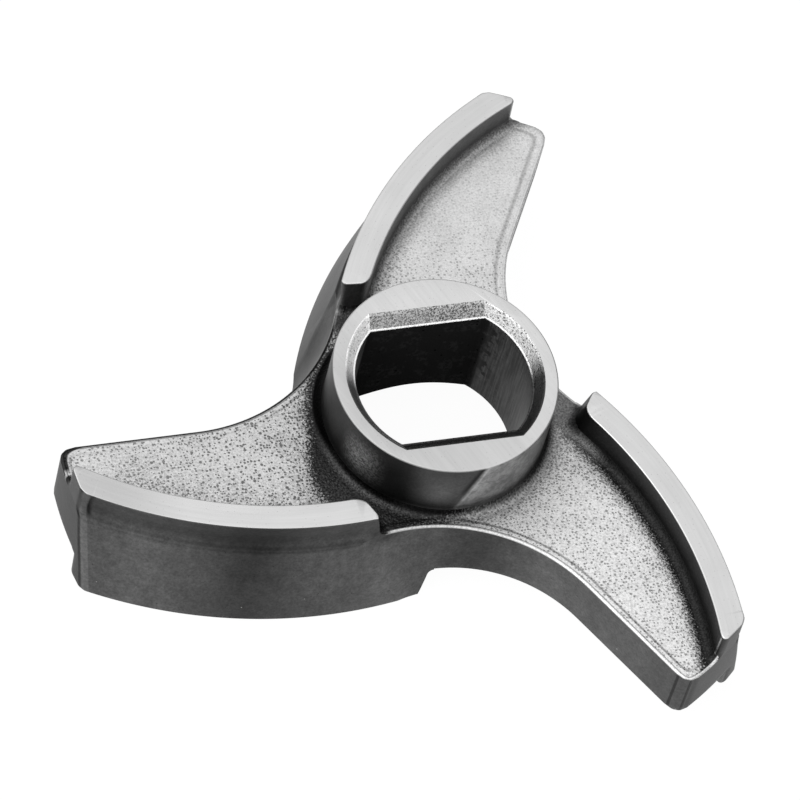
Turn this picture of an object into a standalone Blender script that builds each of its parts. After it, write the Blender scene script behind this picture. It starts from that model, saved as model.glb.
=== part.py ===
"""Three-armed meat grinder knife, cast in one piece.

The knife turns about +Z and its lower rails face -Z. The origin is on the bore's axis at the height
of the mass centre, and X runs along the bore's two flats. Lengths are given in millimetres.
"""
import math

import bmesh
import bpy
from mathutils import Matrix, Vector

MM = 0.001

# heights above the lower rails
WEB_BOTTOM = 4.5
WEB_TOP = 12.8
RAIL_TOP = 17.7
COLLAR_TOP = 23.0
BALANCE = 9.73                     # the mass centre, which is the part's Z = 0

# arms, drawn once and repeated three times about the axis
ARMS = 3
TIP_RADIUS = 50.4
LEAD_CENTRE = (-17.13, 42.60)      # convex leading edge of the arm that points along -X
LEAD_RADIUS = 60.05
TRAIL_Y = 2.15                     # straight trailing edge, parallel to the bore's flats
TRAIL_START_X = -31.6              # where the trailing edge runs into the concave neck
TRAIL_CORNER = 2.3                 # along the trailing edge
TRAIL_CORNER_TIP = 1.9             # the same corner, along the tip
LEAD_CORNER = 1.2

# section of the leading wall: height, reach beyond LEAD_RADIUS, radius of the concave neck
WALL = (
    (0.0, 3.15, 18.7),
    (2.2, 2.70, 19.4),
    (4.5, 2.20, 20.2),
    (6.8, 1.66, 21.3),
    (9.2, 1.08, 22.4),
    (11.4, 0.62, 23.4),
    (12.3, 0.46, 23.8),
    (12.7, 0.02, 23.9),
    (13.6, -0.34, 24.1),
    (15.0, -0.46, 24.1),
    (16.4, -0.30, 23.9),
    (17.7, 0.0, 23.7),
)

# rails, left standing where the web is recessed
RAIL_CENTRE = (-17.32, 41.81)
RAIL_INNER_TOP = 55.57
RAIL_INNER_BOTTOM = 59.1
RAIL_STOP_TOP = -11.95             # X of the rails' outer inner-end corner, before it is rounded
RAIL_STOP_BOTTOM = -4.3
RAIL_END_ANGLE = 110               # from the outer edge's direction to the end, in degrees
RAIL_TIP_ROUND_TOP = 1.9           # corner between a rail's inner wall and the tip
RAIL_TIP_ROUND_BOTTOM = 2.4
RAIL_DRAFT = 0.15
RAIL_END_DRAFT = 1.1
RAIL_FILLET_TOP = 1.2
RAIL_FILLET_BOTTOM = 0.7

# collar and bore
COLLAR_RADIUS = 15.0
COLLAR_EDGE = 0.3
COLLAR_FILLET = 1.2
BORE_RADIUS = 11.75
BORE_FLAT = 8.75                   # axis to flat
MOUTH_RADIUS = 13.1                # cast chamfer round the upper mouth
MOUTH_FLAT = 10.45
MOUTH_DEPTH = 1.5
SINK_RADIUS = 12.8                 # turned countersink at the lower mouth
SINK_SLOPE = 1.56                  # radius per height


def polar(radius, angle):
    return Vector((radius * math.cos(angle), radius * math.sin(angle)))


def turned(point, angle):
    return Matrix.Rotation(angle, 2) @ Vector(point)


def meeting(centre_a, radius_a, centre_b, radius_b, side):
    """Where two circles meet. If they only pass close by, the middle of their nearest points."""
    a, b = Vector(centre_a), Vector(centre_b)
    line = b - a
    along = (line.length_squared + radius_a ** 2 - radius_b ** 2) / (2 * line.length)
    unit = line.normalized()
    across = math.sqrt(max(0.0, radius_a ** 2 - along ** 2))
    return a + unit * along + side * across * Vector((-unit.y, unit.x))


def line_meets_arc(point, direction, centre, radius):
    """The first point of an arc that a line reaches, going forward from a point inside the ring."""
    offset = Vector(point) - Vector(centre)
    middle = offset.dot(direction)
    root = math.sqrt(middle ** 2 - offset.length_squared + radius ** 2)
    return Vector(point) + Vector(direction) * (-middle - root)


def arc(centre, radius, start, end, count):
    """Points from the direction of start to that of end, the short way round, ends included."""
    centre = Vector(centre)
    a = math.atan2(start.y - centre.y, start.x - centre.x)
    b = math.atan2(end.y - centre.y, end.x - centre.x)
    b = a + (b - a + math.pi) % (2 * math.pi) - math.pi
    return [centre + polar(radius, a + (b - a) * i / count) for i in range(count + 1)]


def rounded(before, corner, after, count):
    """A round corner as a quadratic curve, without its two end points."""
    points = []
    for i in range(1, count):
        t = i / count
        points.append(before * (1 - t) ** 2 + corner * (2 * t * (1 - t)) + after * t ** 2)
    return points


def arm_outline(reach, neck):
    """One third of the knife's outline, counter-clockwise, for one height of the leading wall."""
    origin = Vector((0, 0))
    lead = LEAD_RADIUS + reach
    neck_centre = turned((TRAIL_START_X, TRAIL_Y + neck), 2 * math.pi / ARMS)
    neck_end = turned((TRAIL_START_X, TRAIL_Y), 2 * math.pi / ARMS)

    trail_tip = Vector((-math.sqrt(TIP_RADIUS ** 2 - TRAIL_Y ** 2), TRAIL_Y))
    lead_tip = meeting(origin, TIP_RADIUS, LEAD_CENTRE, lead, 1)
    junction = meeting(LEAD_CENTRE, lead, neck_centre, neck, -1)

    step = math.atan2(trail_tip.y, trail_tip.x)
    trail_a = trail_tip + Vector((TRAIL_CORNER, 0))
    trail_b = polar(TIP_RADIUS, step + TRAIL_CORNER_TIP / TIP_RADIUS)
    tip_angle = math.atan2(lead_tip.y, lead_tip.x)
    lead_a = polar(TIP_RADIUS, tip_angle - LEAD_CORNER / TIP_RADIUS)
    side = math.atan2(lead_tip.y - LEAD_CENTRE[1], lead_tip.x - LEAD_CENTRE[0])
    lead_b = Vector(LEAD_CENTRE) + polar(lead, side + LEAD_CORNER / lead)

    points = [Vector((TRAIL_START_X - 8 * i, TRAIL_Y)) for i in range(2)]
    points += [trail_a] + rounded(trail_a, trail_tip, trail_b, 3)
    points += arc(origin, TIP_RADIUS, trail_b, lead_a, 5)
    points += rounded(lead_a, lead_tip, lead_b, 3)
    points += arc(LEAD_CENTRE, lead, lead_b, junction, 16)
    points += arc(neck_centre, neck, junction, neck_end, 14)[1:-1]
    return points


def star_outline(reach, neck):
    third = arm_outline(reach, neck)
    return [turned(p, 2 * math.pi * k / ARMS) for k in range(ARMS) for p in third]


def loft(name, rings, smooth=30):
    """A closed solid through rings of equal length. Each ring is (height, points)."""
    bm = bmesh.new()
    loops = [[bm.verts.new((p.x * MM, p.y * MM, (z - BALANCE) * MM)) for p in points]
             for z, points in rings]
    n = len(loops[0])
    for low, high in zip(loops, loops[1:]):
        for i in range(n):
            j = (i + 1) % n
            bm.faces.new((low[i], low[j], high[j], high[i]))
    bm.faces.new(reversed(loops[0]))
    bm.faces.new(loops[-1])
    bmesh.ops.recalc_face_normals(bm, faces=bm.faces)
    mesh = bpy.data.meshes.new(name)
    bm.to_mesh(mesh)
    bm.free()
    mesh.shade_smooth()
    mesh.set_sharp_from_angle(angle=math.radians(smooth))
    thing = bpy.data.objects.new(name, mesh)
    bpy.context.scene.collection.objects.link(thing)
    return thing


def as_cutter(thing):
    thing.display_type = "WIRE"
    thing.hide_render = True
    return thing


def boolean(target, tool, operation):
    cut = target.modifiers.new(tool.name, "BOOLEAN")
    cut.object = tool
    cut.operation = operation
    cut.solver = "EXACT"


def fillet_steps(radius):
    """Sideways and upward distances of a fillet, from its foot to where the wall begins."""
    return [(radius * (1 - math.sin(a)), radius * (1 - math.cos(a)))
            for a in (math.radians(d) for d in (22, 45, 68, 90))]


def rail_outline(inner, outer, stop, tip_round, grow, end_grow):
    """Plan of a rail, grown on its inner wall and inner end, and standing past the other walls."""
    inner -= grow
    centre = Vector(RAIL_CENTRE)
    lead = Vector(LEAD_CENTRE)

    # inner wall, from the tip inwards
    tip = meeting((0, 0), TIP_RADIUS, centre, inner, 1)
    tip_angle = math.atan2(tip.y, tip.x)
    near_tip = centre + polar(inner, math.atan2(tip.y - centre.y, tip.x - centre.x) + tip_round / inner)
    on_tip = polar(TIP_RADIUS + 0.02, tip_angle + tip_round / TIP_RADIUS)
    far_tip = polar(TIP_RADIUS + 5.0, tip_angle + 2 * tip_round / TIP_RADIUS)
    points = [far_tip, on_tip] + rounded(on_tip, tip, near_tip, 4)

    # slanted inner end with two round corners
    corner = Vector((stop, lead.y - math.sqrt(outer ** 2 - (stop - lead.x) ** 2)))
    wall = math.atan2(corner.y - lead.y, corner.x - lead.x)
    along = polar(1, wall + math.radians(90 + RAIL_END_ANGLE))
    shift = Vector((along.y, -along.x)) * end_grow
    corner_in = line_meets_arc(corner + shift, along, centre, inner)
    corner_out = corner + shift
    turn = math.atan2(corner_in.y - centre.y, corner_in.x - centre.x)
    before = centre + polar(inner, turn - 2.0 / inner)
    points += arc(centre, inner, near_tip, before, 16)
    after = corner_in - along * 1.3
    late = corner_out + along * 1.1
    leave = lead + polar(outer + 0.1, wall + (shift.length - 1.3) / outer)
    points += rounded(before, corner_in, after, 5) + [after, late]
    points += rounded(late, corner_out, leave, 4) + [leave]

    # outside the knife, back to the tip
    away = lead + polar(outer + 5.0, wall - 3.0 / outer)
    side = math.atan2(on_tip.y - lead.y, on_tip.x - lead.x)
    outside_tip = lead + polar(outer + 8.0, side - 2.0 / outer)
    points += [away] + arc(lead, outer + 8.0, away, outside_tip, 4)[1:]
    return points


def recess(name, floor, face, inner, outer, stop, tip_round, fillet):
    """What is cut away above (or below) the web: a disc with the three rails left out."""
    up = 1 if face > floor else -1
    far = face + 8 * up
    disc = loft(name, [(z, [polar(62, 2 * math.pi * i / 48) for i in range(48)])
                       for z in sorted((floor, far))])
    as_cutter(disc)
    height = abs(face - floor)
    rings = []
    for side, rise in fillet_steps(fillet):
        share = 1 - rise / height
        rings.append((floor + up * rise, side + RAIL_DRAFT * share, side + RAIL_END_DRAFT * share))
    first, second = rings[0], rings[1]
    slope = (first[1] - second[1]) / abs(second[0] - first[0])
    drop = abs(first[0] - floor) + 0.25
    rings.insert(0, (floor - 0.25 * up, first[1] + slope * drop, first[2] + slope * drop))
    rings.append((face, 0.0, 0.0))
    rings.append((far + up, -RAIL_DRAFT * 9 / height, -RAIL_END_DRAFT * 9 / height))
    shape = [(z, rail_outline(inner, outer, stop, tip_round, grow, end_grow))
             for z, grow, end_grow in rings]
    for k in range(ARMS):
        angle = 2 * math.pi * k / ARMS
        island = loft("%s_rail_%d" % (name, k + 1),
                      [(z, [turned(p, angle) for p in points]) for z, points in shape])
        as_cutter(island)
        boolean(disc, island, "DIFFERENCE")
    return disc


def collar():
    """The round collar, with its fillet on the web."""
    profile = [(COLLAR_RADIUS - 1.0, WEB_BOTTOM + 4.0), (COLLAR_RADIUS + 1.9, WEB_TOP - 0.4)]
    profile += [(COLLAR_RADIUS + side, WEB_TOP + rise) for side, rise in fillet_steps(COLLAR_FILLET)]
    profile += [(COLLAR_RADIUS, COLLAR_TOP - COLLAR_EDGE), (COLLAR_RADIUS - COLLAR_EDGE, COLLAR_TOP)]
    return loft("collar", [(z, [polar(r, 2 * math.pi * i / 72) for i in range(72)])
                           for r, z in profile])


def double_d(radius, flat):
    """Outline of a round hole with two flats along X."""
    half = math.asin(flat / radius)
    points = []
    for base in (0.0, math.pi):
        points += [polar(radius, base - half + 2 * half * i / 12) for i in range(13)]
    return points


def bore():
    slope_r = (MOUTH_RADIUS - BORE_RADIUS) / MOUTH_DEPTH
    slope_f = (MOUTH_FLAT - BORE_FLAT) / MOUTH_DEPTH
    over = 1.5
    return as_cutter(loft("bore", [
        (WEB_BOTTOM - 3.0, double_d(BORE_RADIUS, BORE_FLAT)),
        (COLLAR_TOP - MOUTH_DEPTH, double_d(BORE_RADIUS, BORE_FLAT)),
        (COLLAR_TOP + over, double_d(MOUTH_RADIUS + slope_r * over, MOUTH_FLAT + slope_f * over)),
    ]))


def countersink():
    """A turned cone that just reaches the flats and breaks the round sides' lower edge."""
    low, high = 1.0, (SINK_RADIUS - BORE_FLAT + 1.0) / SINK_SLOPE
    rings = [(WEB_BOTTOM - low, SINK_RADIUS + SINK_SLOPE * low),
             (WEB_BOTTOM + high, SINK_RADIUS - SINK_SLOPE * high)]
    return as_cutter(loft("countersink", [(z, [polar(r, 2 * math.pi * (i + 0.5) / 64) for i in range(64)])
                                          for z, r in rings]))


def steel(name, colour, roughness):
    material = bpy.data.materials.new(name)
    material.use_nodes = True
    shader = material.node_tree.nodes["Principled BSDF"]
    shader.inputs["Base Color"].default_value = (*colour, 1)
    shader.inputs["Metallic"].default_value = 1.0
    shader.inputs["Roughness"].default_value = roughness
    return material


def main():
    for thing in list(bpy.data.objects):
        bpy.data.objects.remove(thing, do_unlink=True)

    knife = loft("grinder_knife", [(z, star_outline(reach, neck)) for z, reach, neck in WALL])
    knife.data.materials.append(steel("cast_steel", (0.42, 0.42, 0.42), 0.5))

    upper = recess("upper_recess", WEB_TOP, RAIL_TOP, RAIL_INNER_TOP, LEAD_RADIUS,
                   RAIL_STOP_TOP, RAIL_TIP_ROUND_TOP, RAIL_FILLET_TOP)
    lower = recess("lower_recess", WEB_BOTTOM, 0.0, RAIL_INNER_BOTTOM, LEAD_RADIUS + WALL[0][1],
                   RAIL_STOP_BOTTOM, RAIL_TIP_ROUND_BOTTOM, RAIL_FILLET_BOTTOM)
    boolean(knife, upper, "DIFFERENCE")
    boolean(knife, lower, "DIFFERENCE")
    boolean(knife, as_cutter(collar()), "UNION")
    boolean(knife, bore(), "DIFFERENCE")
    boolean(knife, countersink(), "DIFFERENCE")


main()
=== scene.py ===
"""The finish of a cast meat grinder knife: a fine mesh, its steel, and its floor, light and camera.

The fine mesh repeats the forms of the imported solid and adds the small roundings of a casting.
Lengths are in millimetres until they become mesh points, and heights are above the lower rails.
"""
import math

import bmesh
import bpy
from mathutils import Matrix, Vector

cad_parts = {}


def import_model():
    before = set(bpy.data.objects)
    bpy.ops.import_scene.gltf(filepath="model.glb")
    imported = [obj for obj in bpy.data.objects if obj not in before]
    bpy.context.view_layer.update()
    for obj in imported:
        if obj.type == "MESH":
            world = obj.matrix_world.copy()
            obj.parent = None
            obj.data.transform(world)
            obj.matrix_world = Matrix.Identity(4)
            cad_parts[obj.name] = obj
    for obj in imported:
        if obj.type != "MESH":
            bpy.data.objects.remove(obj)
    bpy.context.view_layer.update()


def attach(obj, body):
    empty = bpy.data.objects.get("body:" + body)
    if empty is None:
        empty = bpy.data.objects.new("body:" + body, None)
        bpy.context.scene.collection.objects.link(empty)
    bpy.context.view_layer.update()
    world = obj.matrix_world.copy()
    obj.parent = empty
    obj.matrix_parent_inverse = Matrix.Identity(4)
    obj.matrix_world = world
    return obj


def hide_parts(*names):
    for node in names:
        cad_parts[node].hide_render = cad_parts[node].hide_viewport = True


MM = 0.001

# heights above the lower rails
WEB_BOTTOM = 4.5
WEB_TOP = 12.8
RAIL_TOP = 17.7
COLLAR_TOP = 23.0
BALANCE = 9.73                     # the mass centre, which is the part's Z = 0

# arms, drawn once and repeated three times about the axis
ARMS = 3
THIRD = 2 * math.pi / ARMS
ARM_MIDDLE = 200.5                 # degrees: the middle of the sector that holds the arm along -X
TIP_RADIUS = 50.4
LEAD_CENTRE = (-17.13, 42.60)      # convex leading edge of the arm that points along -X
LEAD_RADIUS = 60.05
LEAD_END_X = -11.6                 # where the leading edge ends at the concave neck
TRAIL_Y = 2.15                     # straight trailing edge, parallel to the bore's flats
TRAIL_START_X = -31.6              # where the trailing edge runs into the concave neck
TRAIL_CORNER = 2.3                 # along the trailing edge
TRAIL_CORNER_TIP = 1.9             # the same corner, along the tip
LEAD_CORNER = 0.55                 # flat facet between the tip and the leading wall
STRIP_FILL = 0.8                   # upright strip beside it, where the hollow is mostly filled
STRIP_STEPS = ((0.0, 1.0), (0.12, 0.75), (0.24, 0.3), (0.36, 0.0))  # along the wall, share of fill
TRAIL_STEPS, TIP_STEPS, LEAD_STEPS, NECK_STEPS = 8, 12, 46, 36  # points along the outline

# section of the leading wall: height, reach beyond LEAD_RADIUS, radius of the concave neck
WALL = (
    (0.0, 3.15, 18.7),
    (2.2, 2.70, 19.4),
    (4.5, 2.20, 20.2),
    (6.8, 1.66, 21.3),
    (9.2, 1.08, 22.4),
    (11.4, 0.62, 23.4),
    (12.3, 0.46, 23.8),
    (12.7, 0.02, 23.9),
    (13.6, -0.34, 24.1),
    (15.0, -0.46, 24.1),
    (16.4, -0.30, 23.9),
    (17.7, 0.0, 23.7),
)

# rails, left standing where the web is recessed
RAIL_CENTRE = (-17.32, 41.81)
RAIL_INNER_TOP = 55.57
RAIL_INNER_BOTTOM = 59.1
RAIL_STOP_TOP = -11.95             # X of the rails' outer inner-end corner, before it is rounded
RAIL_STOP_BOTTOM = -4.3
RAIL_END_ANGLE = 110               # from the outer edge's direction to the end, in degrees
RAIL_TIP_ROUND_TOP = 1.9           # corner between a rail's inner wall and the tip
RAIL_TIP_ROUND_BOTTOM = 2.4
RAIL_CORNER_IN = (2.0, 1.3)        # round corner of the end: along the inner wall, along the end
RAIL_CORNER_OUT = (1.1, 1.3)       # the other: along the end, along the outer wall
RAIL_DRAFT = 0.15
RAIL_END_DRAFT = 1.1
RAIL_FILLET_TOP = 1.2
RAIL_FILLET_BOTTOM = 0.7

# collar and bore
COLLAR_RADIUS = 15.0
COLLAR_EDGE = 0.22
COLLAR_FILLET = 1.5
BORE_RADIUS = 11.75
BORE_FLAT = 8.75                   # axis to flat
MOUTH_RADIUS = 13.1                # cast chamfer round the upper mouth
MOUTH_FLAT = 10.45
MOUTH_CORNER_X = 7.87              # where the flats meet the round sides
MOUTH_DEPTH = 1.5
LIP_RISE = 0.03                    # ledge along the chamfer's lower edge, which gets a painted highlight
LIP_SHARE = 0.16                   # its width, as a share of the chamfer's
SINK_RADIUS = 12.8                 # turned countersink at the lower mouth
SINK_SLOPE = 1.56                  # radius per height
COLLAR_SIDES, SINK_SIDES, BORE_STEPS = 144, 128, 32

# small roundings of the casting
GROUND_EDGE = 0.22                 # rails' ground faces
WEB_EDGE = 0.30
MOUTH_EDGE = 0.22
CLEAR = 0.01                       # how far a cutter stands off a wall that it meets
BEYOND = 6.0                       # how far a recess's cutter reaches past the outline
ABOVE = 8.0                        # how far it and the rails' plans reach past the knife
WELD = 0.004                       # points closer than this become one
SLIVER = 0.002                     # edges shorter than this are dissolved
SHARP_ANGLE = 38                   # degrees between faces that meet in a sharp edge

# camera, worked out from the photograph's edges
PHOTO_SIZE = 800                   # pixels
FOCAL_PIXELS = 6100.7
SENSOR = 36.0
STANDS_AT = -118.0                 # degrees round the bore's axis from +X
LOOKS_DOWN = 55.80
ROLL, PAN, TILT = 16.75, 0.43, -0.24
DISTANCE = 795.6                   # from the middle of the collar's face

# places that the materials name
SCRATCH_TURN = 67                  # degrees: the grinding scratches on the collar's face
EDGE_NECK = 23.9                   # radius of the concave neck at the web's edge
RAIL_END = (-10.8, -15.2)          # inner end of the rail of the arm that points along -X
TIP_LINES = ((-48.5, 2.15), (-50.15, 1.25))  # painted shade: dark upright lines beside the trailing tip's facets: X, Y
SHADES = ((-28.0, 11.0), (2.0, 8.0))  # painted reflections: dark upright zones on the front walls: X, half width
DARK_SIDE = (-0.35, 0.94, 0.0)     # web edges that look this way get painted shade instead of a painted highlight
REAR = (0.0, 1.0, 0.0)             # walls that look this way get painted light, which makes them paler
FRONT = (-0.4, -0.92, 0.0)         # rail edges that look this way lose most of their painted highlight

LEFT = (-9.0, -12.0)               # X where the far edges' painted shade starts, and where it is full
LEFT_TIP = (-43.5, -46.5)          # X, in the same way, of the left tip, which has no painted shade in its corners
NOSE = (-47.0, -49.6)              # X of the painted shade, a dark crescent, round that tip

# zones of painted shade beside the collar, and of a painted reflection on its wall, in degrees
# round the bore's axis: nothing and full, for both their ends
WIDE_SHADE = ((-182.0, -150.0), (-108.0, -126.0))  # painted shade that reaches far out
SADDLE = ((-58.0, -32.0), (40.0, 10.0))            # between two arms, where the painted shade is grey
RIDGE_SHEEN = ((-1.6, 1.6), (62.0, 26.0))             # painted reflection that makes the wall pale, in degrees from the ridge

# painted light and shade on the collar's wall, in degrees round the bore's axis: middle, half width
ROUGH_PATCH = (-147.0, 17.0)
DARK_BAND = (-122.0, 11.0)
FAINT_PATCH = (-101.0, 15.0)
RIDGE_FOOT = -112.5                # edge of the painted reflection, carried down to the lower rails' height
RIDGE_LEAN = 1.30                  # its slant, in degrees for each millimetre of height

# light
BRIGHT_SIDE = (-0.35, -0.15, 0.92) # where the room is brightest
ROOM_SPREAD = (0.1, 0.75)          # cosines to that side between which the room's light changes
ROOM_LIGHT = (0.30, 1.35)
FLOOR_SIZE = 6.0                   # metres
FLOOR_GAP = 0.1                    # below the lower rails
FLOOR_GLOW = 1.03                  # just past the photograph's white
FLOOR_GLOW_SHARE = 0.93            # the rest of the floor is paper, which takes the shadow
WHITE = (1.0, 1.0, 1.0, 1.0)


def polar(radius, angle):
    return Vector((radius * math.cos(angle), radius * math.sin(angle)))


def turned(point, angle):
    return Matrix.Rotation(angle, 2) @ Vector(point)


def meeting(centre_a, radius_a, centre_b, radius_b, side):
    """Where two circles meet. If they only pass close by, the middle of their nearest points."""
    a, b = Vector(centre_a), Vector(centre_b)
    line = b - a
    along = (line.length_squared + radius_a ** 2 - radius_b ** 2) / (2 * line.length)
    unit = line.normalized()
    across = math.sqrt(max(0.0, radius_a ** 2 - along ** 2))
    return a + unit * along + side * across * Vector((-unit.y, unit.x))


def line_meets_arc(point, direction, centre, radius):
    """The first point of an arc that a line reaches, going forward from a point inside the ring."""
    offset = Vector(point) - Vector(centre)
    middle = offset.dot(direction)
    root = math.sqrt(middle ** 2 - offset.length_squared + radius ** 2)
    return Vector(point) + Vector(direction) * (-middle - root)


def arc(centre, radius, start, end, count):
    """Points from the direction of start to that of end, the short way round, ends included."""
    centre = Vector(centre)
    a = math.atan2(start.y - centre.y, start.x - centre.x)
    b = math.atan2(end.y - centre.y, end.x - centre.x)
    b = a + (b - a + math.pi) % (2 * math.pi) - math.pi
    return [centre + polar(radius, a + (b - a) * i / count) for i in range(count + 1)]


def rounded(before, corner, after, count):
    """A round corner as a quadratic curve, without its two end points."""
    points = []
    for i in range(1, count):
        t = i / count
        points.append(before * (1 - t) ** 2 + corner * (2 * t * (1 - t)) + after * t ** 2)
    return points


def neck_centre(neck):
    """Centre of the concave neck on the trailing side of the arm that points along -X."""
    return Vector((TRAIL_START_X, TRAIL_Y + neck))


def arm_outline(reach, neck, inset):
    """One third of the knife's outline for one height, drawn in from the wall by inset."""
    origin = Vector((0, 0))
    tip_radius = TIP_RADIUS - inset
    trail = TRAIL_Y - inset
    lead = LEAD_RADIUS + reach - inset
    centre = turned(neck_centre(neck), THIRD)
    neck_end = turned((TRAIL_START_X, trail), THIRD)

    trail_tip = Vector((-math.sqrt(tip_radius ** 2 - trail ** 2), trail))
    lead_tip = meeting(origin, tip_radius, LEAD_CENTRE, lead, 1)
    junction = meeting(LEAD_CENTRE, lead, centre, neck + inset, -1)

    step = math.atan2(trail_tip.y, trail_tip.x)
    trail_a = trail_tip + Vector((TRAIL_CORNER, 0))
    trail_b = polar(tip_radius, step + TRAIL_CORNER_TIP / TIP_RADIUS)
    facet = rounded(trail_a, trail_tip, trail_b, 3)
    tip_angle = math.atan2(lead_tip.y, lead_tip.x)
    side = math.atan2(lead_tip.y - LEAD_CENTRE[1], lead_tip.x - LEAD_CENTRE[0])
    tip_side = [polar(tip_radius, tip_angle - LEAD_CORNER * k / TIP_RADIUS) for k in (2.2, 1.0)]
    extra = STRIP_FILL * max(0.0, -reach)
    lead_side = [Vector(LEAD_CENTRE) + polar(lead + extra, side + LEAD_CORNER * k / lead)
                 for k in (1.0, 2.2)]
    lead_b = side + LEAD_CORNER * 2.2 / lead
    strip = [Vector(LEAD_CENTRE) + polar(lead + extra * share, lead_b + along / lead)
             for along, share in STRIP_STEPS]

    points = [Vector((TRAIL_START_X + (trail_a.x - TRAIL_START_X) * i / TRAIL_STEPS, trail))
              for i in range(TRAIL_STEPS)]
    points += soft_corners([trail_a] + facet + [trail_b])
    points += arc(origin, tip_radius, trail_b, tip_side[0], TIP_STEPS)[1:-1]
    points += soft_corners(tip_side + lead_side)[:-1] + strip
    points += arc(LEAD_CENTRE, lead, strip[-1], junction, LEAD_STEPS)[1:]
    points += arc(centre, neck + inset, junction, neck_end, NECK_STEPS)[1:-1]
    return points


def soft_corners(points):
    """A polyline with each of its inner corners replaced by a short curve."""
    result = [points[0]]
    for before, corner, after in zip(points, points[1:], points[2:]):
        a = corner.lerp(before, 0.25)
        b = corner.lerp(after, 0.25)
        result += [a] + rounded(a, corner, b, 4) + [b]
    return result + [points[-1]]


def star_outline(reach, neck, inset=0.0):
    third = arm_outline(reach, neck, inset)
    return [turned(p, k * THIRD) for k in range(ARMS) for p in third]


def wall_at(height):
    """Reach and neck radius of the wall at a height, between the rows of WALL."""
    for low, high in zip(WALL, WALL[1:]):
        if height <= high[0]:
            t = (height - low[0]) / (high[0] - low[0])
            return low[1] + (high[1] - low[1]) * t, low[2] + (high[2] - low[2]) * t
    return WALL[-1][1:]


def quarter(radius, count):
    """Distances (from one face, from the other) of the points of a rounded edge."""
    return [(radius * (1 - math.sin(a)), radius * (1 - math.cos(a)))
            for a in (math.pi / 2 * i / count for i in range(count + 1))]


def loft(name, rings):
    """A closed solid through rings of equal length. Each ring is (height, points)."""
    bm = bmesh.new()
    loops = [[bm.verts.new((p.x * MM, p.y * MM, (z - BALANCE) * MM)) for p in points]
             for z, points in rings]
    n = len(loops[0])
    for low, high in zip(loops, loops[1:]):
        for i in range(n):
            j = (i + 1) % n
            bm.faces.new((low[i], low[j], high[j], high[i]))
    bm.faces.new(reversed(loops[0]))
    bm.faces.new(loops[-1])
    bmesh.ops.recalc_face_normals(bm, faces=bm.faces)
    mesh = bpy.data.meshes.new(name)
    bm.to_mesh(mesh)
    bm.free()
    thing = bpy.data.objects.new(name, mesh)
    bpy.context.scene.collection.objects.link(thing)
    return thing


def combined(target, tool, operation):
    """The target with one Boolean applied. The tool is deleted."""
    change = target.modifiers.new(tool.name, "BOOLEAN")
    change.object = tool
    change.operation = operation
    change.solver = "MANIFOLD"
    graph = bpy.context.evaluated_depsgraph_get()
    mesh = bpy.data.meshes.new_from_object(target.evaluated_get(graph))
    target.modifiers.clear()
    target.data = mesh
    bpy.data.objects.remove(tool, do_unlink=True)
    return target


def body():
    """The knife's outline with its leading wall, its lowest and highest edges rounded."""
    rings = []
    for inset, rise in quarter(GROUND_EDGE, 4):
        rings.append((rise, star_outline(*wall_at(rise), inset)))
    for low, high in zip(WALL, WALL[1:]):
        for z in (low[0], (low[0] + high[0]) / 2):
            if GROUND_EDGE < z < RAIL_TOP - GROUND_EDGE:
                rings.append((z, star_outline(*wall_at(z))))
    for inset, rise in reversed(quarter(GROUND_EDGE, 4)):
        z = RAIL_TOP - rise
        rings.append((z, star_outline(*wall_at(z), inset)))
    return loft("knife_body", rings)


def rail_outline(inner, outer, stop, tip_round, grow, end_grow):
    """Plan of a rail, grown on its inner wall and inner end, and standing past the other walls."""
    inner -= grow
    centre = Vector(RAIL_CENTRE)
    lead = Vector(LEAD_CENTRE)

    # inner wall, from the tip inwards
    tip = meeting((0, 0), TIP_RADIUS, centre, inner, 1)
    tip_angle = math.atan2(tip.y, tip.x)
    tip_turn = math.atan2(tip.y - centre.y, tip.x - centre.x)
    near_tip = centre + polar(inner, tip_turn + tip_round / inner)
    on_tip = polar(TIP_RADIUS + 0.02, tip_angle + tip_round / TIP_RADIUS)
    far_tip = polar(TIP_RADIUS + 5.0, tip_angle + 2 * tip_round / TIP_RADIUS)
    points = [far_tip, on_tip] + rounded(on_tip, tip, near_tip, 10)

    # slanted inner end with two round corners
    corner = Vector((stop, lead.y - math.sqrt(outer ** 2 - (stop - lead.x) ** 2)))
    wall = math.atan2(corner.y - lead.y, corner.x - lead.x)
    along = polar(1, wall + math.radians(90 + RAIL_END_ANGLE))
    shift = Vector((along.y, -along.x)) * end_grow
    corner_in = line_meets_arc(corner + shift, along, centre, inner)
    corner_out = corner + shift
    turn = math.atan2(corner_in.y - centre.y, corner_in.x - centre.x)
    before = centre + polar(inner, turn - RAIL_CORNER_IN[0] / inner)
    points += arc(centre, inner, near_tip, before, 48)
    after = corner_in - along * RAIL_CORNER_IN[1]
    late = corner_out + along * RAIL_CORNER_OUT[0]
    leave = lead + polar(outer + 0.1, wall + (shift.length - RAIL_CORNER_OUT[1]) / outer)
    points += rounded(before, corner_in, after, 12) + [after, late]
    points += rounded(late, corner_out, leave, 10) + [leave]

    # outside the knife, back to the tip
    away = lead + polar(outer + 5.0, wall - 3.0 / outer)
    side = math.atan2(on_tip.y - lead.y, on_tip.x - lead.x)
    outside_tip = lead + polar(outer + ABOVE, side - 2.0 / outer)
    points += [away] + arc(lead, outer + ABOVE, away, outside_tip, 4)[1:]
    return points


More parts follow.
